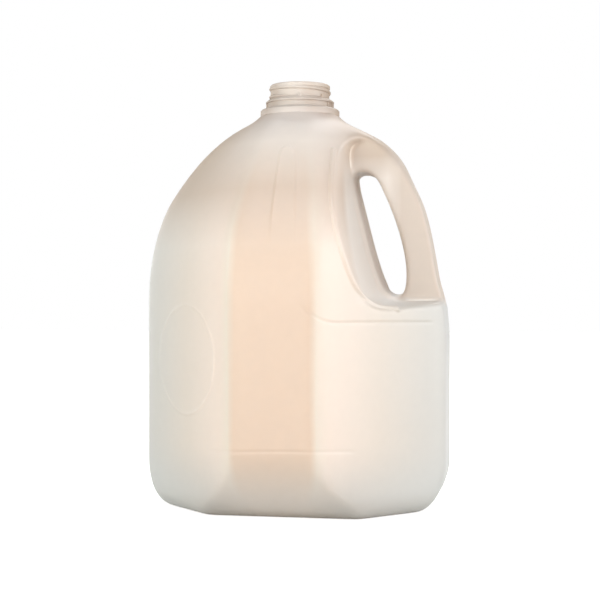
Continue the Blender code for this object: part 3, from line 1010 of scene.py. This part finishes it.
def natural_polyethylene():
    """Undyed HDPE, blow moulded: milky, waxy and soft-glossed, and warm where light comes through.

    Thin wall lets more light through and looks warmer; thick wall is a cooler, greyer milk. Its colours
    by girth and height also hold painted light: a painted highlight beside the facets' corners, painted
    shade towards the corners on the walls, shoulder and base and at the turn of the shoulder, and a
    recess painted lighter against the handle's shade.
    """
    material = bpy.data.materials.new("blown_natural_hdpe")
    material.use_nodes = True
    tree = material.node_tree
    tree.nodes.clear()

    place = node(tree, "ShaderNodeTexCoord").outputs["Object"]
    x, y, z = node(tree, "ShaderNodeSeparateXYZ", {0: place}).outputs
    off_x = node(tree, "ShaderNodeMath", {0: x}, operation="ABSOLUTE")
    off_y = node(tree, "ShaderNodeMath", {0: y}, operation="ABSOLUTE")
    turn = node(tree, "ShaderNodeMath", {0: off_x, 1: off_y}, operation="ARCTAN2")
    degrees = node(tree, "ShaderNodeMath", {0: turn}, operation="DEGREES")
    stretch = {"Vector": place, "Scale": (1, 1, FLOW_WIDTH / FLOW_LENGTH)}
    drawn = node(tree, "ShaderNodeMapping", stretch)
    flow = node(tree, "ShaderNodeTexNoise", {"Vector": drawn, "Scale": 1 / FLOW_WIDTH, "Detail": 2})
    sway = {0: flow, 1: FLOW_SWAY, 2: -FLOW_SWAY / 2}
    swayed = node(tree, "ShaderNodeMath", sway, operation="MULTIPLY_ADD")
    girth = node(tree, "ShaderNodeMath", {0: degrees, 1: swayed}, operation="ADD")

    clouds = node(tree, "ShaderNodeTexNoise", {"Vector": place, "Scale": 1 / CLOUD_SIZE, "Detail": 2})
    cloudy = node(tree, "ShaderNodeMapRange", {"Value": clouds, "To Min": CLOUD_DARK, "To Max": 1.0})
    rise = dict(zip(("Value", "From Min", "From Max"), (z, *BLOWN_FROM)))
    fall = dict(zip(("Value", "From Min", "From Max"), (z, *BLOWN_TO)))
    above = node(tree, "ShaderNodeMapRange", rise, interpolation_type="SMOOTHSTEP")
    below = node(tree, "ShaderNodeMapRange", fall, interpolation_type="SMOOTHSTEP")
    under = node(tree, "ShaderNodeMath", {0: 1.0, 1: above}, operation="SUBTRACT")
    blown = node(tree, "ShaderNodeMath", {0: above, 1: below}, operation="MULTIPLY")
    # These colours round the girth and up the height hold painted light: a painted highlight beside
    # each facet's corner, and painted shade towards the corners and at the turn of the shoulder.
    wall_tones_and_painted_light = shaded_along(tree, girth, SHOULDER_TONES_AND_PAINTED_SHADE)
    for share, stops in ((below, BLOWN_TONES_AND_PAINTED_LIGHT), (under, BASE_TONES_AND_PAINTED_SHADE)):
        pair = {"Factor": share, 6: wall_tones_and_painted_light, 7: shaded_along(tree, girth, stops)}
        wall_tones_and_painted_light = node(tree, "ShaderNodeMix", pair, data_type="RGBA").outputs[2]
    colors = {0: wall_tones_and_painted_light, 1: shaded_along(tree, z, HEIGHT_TINTS_AND_PAINTED_SHADE)}
    wall_tones_and_painted_light = node(tree, "ShaderNodeVectorMath", colors, operation="MULTIPLY")
    handle = beside_gap(tree, x, off_y, z, HANDLE_SPAN)
    recess = beside_gap(tree, x, off_y, z, RECESS_SPAN)
    # The recess's lighter colour is painted light, set against the shade that the handle casts there.
    for share, code in ((handle, HANDLE_COLOR), (recess, RECESS_PAINTED_LIGHT_COLOR)):
        pair = {"Factor": share, 6: wall_tones_and_painted_light, 7: (*linear(code), 1)}
        wall_tones_and_painted_light = node(tree, "ShaderNodeMix", pair, data_type="RGBA").outputs[2]
    sent_back = node(tree, "ShaderNodeVectorMath", {0: wall_tones_and_painted_light, "Scale": cloudy}, operation="SCALE")
    warmed = {0: sent_back, 1: LET_THROUGH_TINT}
    let_through = node(tree, "ShaderNodeVectorMath", warmed, operation="MULTIPLY")

    waves = node(tree, "ShaderNodeTexNoise", {"Vector": place, "Scale": 1 / WAVE_SIZE, "Detail": 1})
    grain = node(tree, "ShaderNodeTexNoise", {"Vector": place, "Scale": 1 / GRAIN_SIZE, "Detail": 2})
    wavy = node(tree, "ShaderNodeBump", {"Height": waves, "Strength": 1.0, "Distance": WAVE_HEIGHT})
    grainy = {"Height": grain, "Strength": 1.0, "Distance": GRAIN_HEIGHT, "Normal": wavy}
    surface = node(tree, "ShaderNodeBump", grainy)
    rough = {"Value": clouds, "To Min": ROUGHNESS[0], "To Max": ROUGHNESS[1]}
    roughness = node(tree, "ShaderNodeMapRange", rough)

    skin_inputs = {
        "Base Color": sent_back,
        "Roughness": roughness,
        "IOR": HDPE_IOR,
        "Specular IOR Level": HDPE_SPECULAR,
        "Normal": surface,
    }
    skin = node(tree, "ShaderNodeBsdfPrincipled", skin_inputs)
    glow = node(tree, "ShaderNodeBsdfTranslucent", {"Color": let_through, "Normal": surface})
    angles = {"Value": girth, "From Min": SHARE_ANGLES[1], "From Max": SHARE_ANGLES[0]}
    facet = node(tree, "ShaderNodeMapRange", angles)
    thinness = node(tree, "ShaderNodeMath", {0: facet, 1: blown}, operation="MULTIPLY")
    thick, thin, clear = SHARE_LET_THROUGH
    share = node(tree, "ShaderNodeMapRange", {"Value": thinness, "To Min": thick, "To Max": thin})
    share = node(tree, "ShaderNodeMapRange", {"Value": recess, "To Min": share, "To Max": clear})
    mirrored = node(tree, "ShaderNodeFresnel", {"IOR": HDPE_IOR, "Normal": surface})
    entering = node(tree, "ShaderNodeMath", {0: 1.0, 1: mirrored}, operation="SUBTRACT")
    through = node(tree, "ShaderNodeMath", {0: share, 1: entering}, operation="MULTIPLY")
    wall = node(tree, "ShaderNodeMixShader", {0: through, 1: skin, 2: glow})
    node(tree, "ShaderNodeOutputMaterial", {"Surface": wall})
    return material


# ---- Studio ----------------------------------------------------------------------------

# Soft boxes round the jug: bearing and rise in degrees, watts and tint.
SOFT_BOXES = (
    ("left", -60, 10, 6.0, "#edfcff"),
    ("front_left", -30, 10, 9.2, "#fffaec"),
    ("front", 0, 10, 7.6, "#fcffff"),
    ("front_right", 30, 10, 3.4, "#ffead8"),
    ("right", 60, 10, 4.6, "#fff0e2"),
    ("side_right", 85, 10, 10.2, "#f2faff"),
    ("back_right", 125, 10, 5.5, "#ffffff"),
    ("back_left", -125, 10, 4.5, "#ffffff"),
    ("high_front", 0, 50, 8.6, "#e2f2ff"),
    ("high_right", 60, 50, 2.4, "#e0f4ff"),
    ("high_back", 180, 50, 11.0, "#ffffff"),
)
BOX_WIDTH = 0.9
BOX_DISTANCE = 1.6
AMBIENT = 0.17                      # the room's own light
FLOOR_SIZE = 8
PAPER_COLOR = "#e4e2df"
# The paper glows a little so that it meets the white behind it: fully past the second reach
# from the jug's axis, and less inside the first, where the jug stands.
GLOW_REACH = (0.12, 0.40)
GLOW = (0.74, 1.0)


def soft_box(name, bearing, rise, watts, tint):
    """A square area light that faces the middle of the jug."""
    data = bpy.data.lights.new(name, "AREA")
    data.size = BOX_WIDTH
    data.energy = watts
    data.color = linear(tint)
    light = bpy.data.objects.new(name, data)
    bpy.context.scene.collection.objects.link(light)
    bearing = math.radians(bearing)
    rise = math.radians(rise)
    out = math.cos(rise)
    towards = Vector((math.sin(bearing) * out, -math.cos(bearing) * out, math.sin(rise)))
    light.location = Vector((0, 0, HEIGHT / 2)) + BOX_DISTANCE * towards
    light.rotation_euler = towards.to_track_quat("Z", "Y").to_euler()
    light.visible_camera = False


def white_for_camera(tree, seen, lit):
    """The camera sees the first shader; the jug is lit by the second."""
    path = node(tree, "ShaderNodeLightPath").outputs["Is Camera Ray"]
    return node(tree, "ShaderNodeMixShader", {0: path, 1: lit, 2: seen}).outputs[0]


def studio():
    """Soft boxes all round, and white paper under a white backdrop."""
    scene = bpy.context.scene
    scene.view_settings.view_transform = "Standard"
    world = bpy.data.worlds.new("studio")
    world.use_nodes = True
    tree = world.node_tree
    tree.nodes.clear()
    sweep = node(tree, "ShaderNodeBackground", {"Color": (1, 1, 1, 1), "Strength": 1.0})
    dim = node(tree, "ShaderNodeBackground", {"Color": (1, 1, 1, 1), "Strength": AMBIENT})
    surface = white_for_camera(tree, sweep.outputs[0], dim.outputs[0])
    node(tree, "ShaderNodeOutputWorld", {"Surface": surface})
    scene.world = world
    for row in SOFT_BOXES:
        soft_box(*row)

    bpy.ops.mesh.primitive_plane_add(size=FLOOR_SIZE)
    floor = bpy.context.object
    floor.name = "floor"
    paper = bpy.data.materials.new("white_paper")
    paper.use_nodes = True
    tree = paper.node_tree
    tree.nodes.clear()
    matt = node(tree, "ShaderNodeBsdfDiffuse", {"Color": (*linear(PAPER_COLOR), 1)})
    away = node(tree, "ShaderNodeTexCoord").outputs["Object"]
    reach = node(tree, "ShaderNodeVectorMath", {0: away}, operation="LENGTH").outputs["Value"]
    ranges = zip(("From Min", "From Max", "To Min", "To Max"), (*GLOW_REACH, *GLOW))
    strength = node(tree, "ShaderNodeMapRange", {"Value": reach, **dict(ranges)})
    glow = node(tree, "ShaderNodeEmission", {"Color": (1, 1, 1, 1), "Strength": strength})
    both = node(tree, "ShaderNodeAddShader", {0: matt.outputs[0], 1: glow.outputs[0]})
    surface = white_for_camera(tree, both.outputs[0], matt.outputs[0])
    node(tree, "ShaderNodeOutputMaterial", {"Surface": surface})
    floor.data.materials.append(paper)


def camera():
    """Level with the middle of the jug, ten degrees round from the front facet."""
    data = bpy.data.cameras.new("camera")
    data.lens = CAMERA_LENS
    data.sensor_width = 36
    data.clip_start = 0.01
    view = bpy.data.objects.new("camera", data)
    bpy.context.scene.collection.objects.link(view)
    view.location = (
        CAMERA_DISTANCE * math.sin(CAMERA_BEARING),
        -CAMERA_DISTANCE * math.cos(CAMERA_BEARING),
        CAMERA_HEIGHT,
    )
    view.rotation_euler = (math.pi / 2, 0, CAMERA_BEARING)
    bpy.context.scene.camera = view


def build():
    """The studio and the jug, which stands for the solid in every pose."""
    camera()
    studio()
    jug = joined_by_union(blown_wall(), [neck_ring()] + neck_details(), "dairy_jug")
    jug.data.materials.clear()
    jug.data.materials.append(blown_hdpe)
    jug.data.shade_smooth()
    keep_neck_edges(jug.data)
    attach(jug, "root")
    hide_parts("jug")


blown_hdpe = natural_polyethylene()
build()
